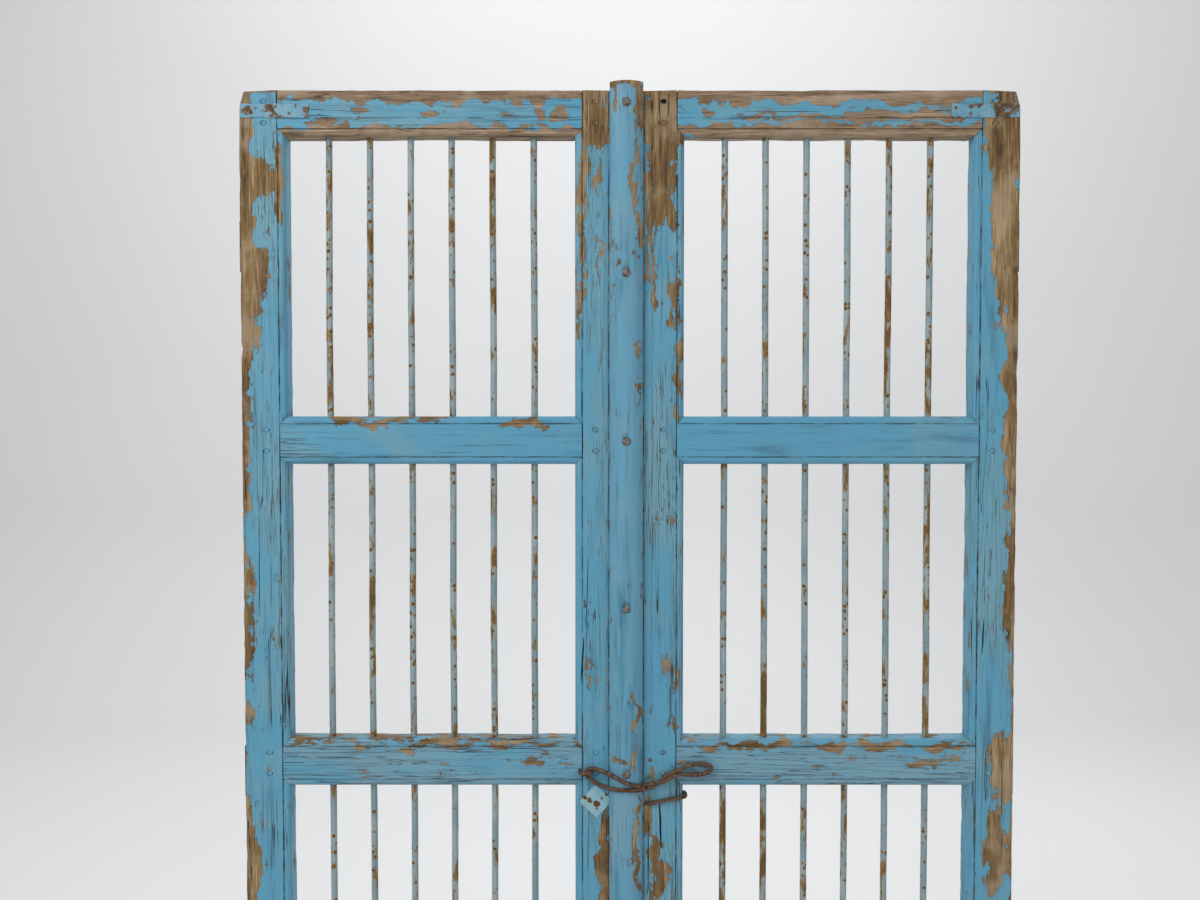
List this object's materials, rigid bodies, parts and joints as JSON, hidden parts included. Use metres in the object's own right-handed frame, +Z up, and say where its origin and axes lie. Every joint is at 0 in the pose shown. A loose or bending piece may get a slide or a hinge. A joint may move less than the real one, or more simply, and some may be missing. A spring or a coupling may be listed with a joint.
{
  "type": "pair of barred doors",
  "caption": "Pair of old wooden double doors with upright iron bars, a rounded cover strip and a bent wire latch, in worn blue paint.",
  "frame": {"origin": "bottom centre of the closed pair's bounding box", "axes": "+X to the right seen from the front, +Y into the building, which is the way the leaves open, +Z up"},
  "size_m": [1.178, 0.0741, 2.07],
  "materials": {
    "painted_wood": "worn, flaking blue paint on weathered wood",
    "peg_wood": "end grain with remains of paint",
    "bar_iron": "thin chalky paint with rust spots",
    "painted_sheet": "painted sheet iron with rusty edges",
    "nail_iron": "rusty",
    "rusty_wire": "dark brown rust",
    "hinge_iron": "dark iron with traces of paint"
  },
  "bodies": {
    "hinge_plates": {"left_bottom_hinge_plate": "hinge_iron", "left_middle_hinge_plate": "hinge_iron", "left_top_hinge_plate": "hinge_iron", "right_bottom_hinge_plate": "hinge_iron", "right_middle_hinge_plate": "hinge_iron", "right_top_hinge_plate": "hinge_iron", "left_hinge_pins": "hinge_iron", "right_hinge_pins": "hinge_iron"},
    "left_leaf": {"left_hinge_stile": "painted_wood", "left_meeting_stile": "painted_wood", "left_top_rail": "painted_wood", "left_middle_rail_1": "painted_wood", "left_middle_rail_2": "painted_wood", "left_middle_rail_3": "painted_wood", "left_bottom_rail": "painted_wood", "left_bar_1": "bar_iron", "left_bar_2": "bar_iron", "left_bar_3": "bar_iron", "left_bar_4": "bar_iron", "left_bar_5": "bar_iron", "left_bar_6": "bar_iron", "left_tenon_pegs": "peg_wood", "left_corner_strap": "painted_sheet", "left_strap_tacks": "nail_iron", "left_bottom_hinge_flap": "hinge_iron", "left_middle_hinge_flap": "hinge_iron", "left_top_hinge_flap": "hinge_iron", "left_hinge_screws": "hinge_iron", "cover_strip": "painted_wood", "strip_nails": "nail_iron", "latch_staple": "rusty_wire", "latch_plate": "painted_sheet", "plate_tacks": "nail_iron"},
    "right_leaf": {"right_hinge_stile": "painted_wood", "right_meeting_stile": "painted_wood", "right_top_rail": "painted_wood", "right_middle_rail_1": "painted_wood", "right_middle_rail_2": "painted_wood", "right_middle_rail_3": "painted_wood", "right_bottom_rail": "painted_wood", "right_bar_1": "bar_iron", "right_bar_2": "bar_iron", "right_bar_3": "bar_iron", "right_bar_4": "bar_iron", "right_bar_5": "bar_iron", "right_bar_6": "bar_iron", "right_tenon_pegs": "peg_wood", "right_corner_strap": "painted_sheet", "right_strap_tacks": "nail_iron", "right_bottom_hinge_flap": "hinge_iron", "right_middle_hinge_flap": "hinge_iron", "right_top_hinge_flap": "hinge_iron", "right_hinge_screws": "hinge_iron", "stile_nails": "nail_iron", "binding_wire": "rusty_wire"},
    "latch": {"latch_loop": "rusty_wire"}
  },
  "joints": [
    {"name": "right_leaf_swing", "type": "hinge", "parent": "hinge_plates", "child": "right_leaf", "pos_m": [0.585, 0.03307, 1.03], "axis": [0, 0, -1], "range_deg": [0, 100]},
    {"name": "left_leaf_swing", "type": "hinge", "parent": "hinge_plates", "child": "left_leaf", "pos_m": [-0.585, 0.03307, 1.03], "axis": [0, 0, 1], "range_deg": [0, 60]},
    {"name": "latch_swing", "type": "hinge", "parent": "left_leaf", "child": "latch", "pos_m": [-0.066, -0.01766, 1.03429], "axis": [0, 0, -1], "range_deg": [0, 150]}
  ],
  "couplings": [
    {"joint": "left_leaf_swing", "follows": "right_leaf_swing", "ratio": 0.6}
  ]
}
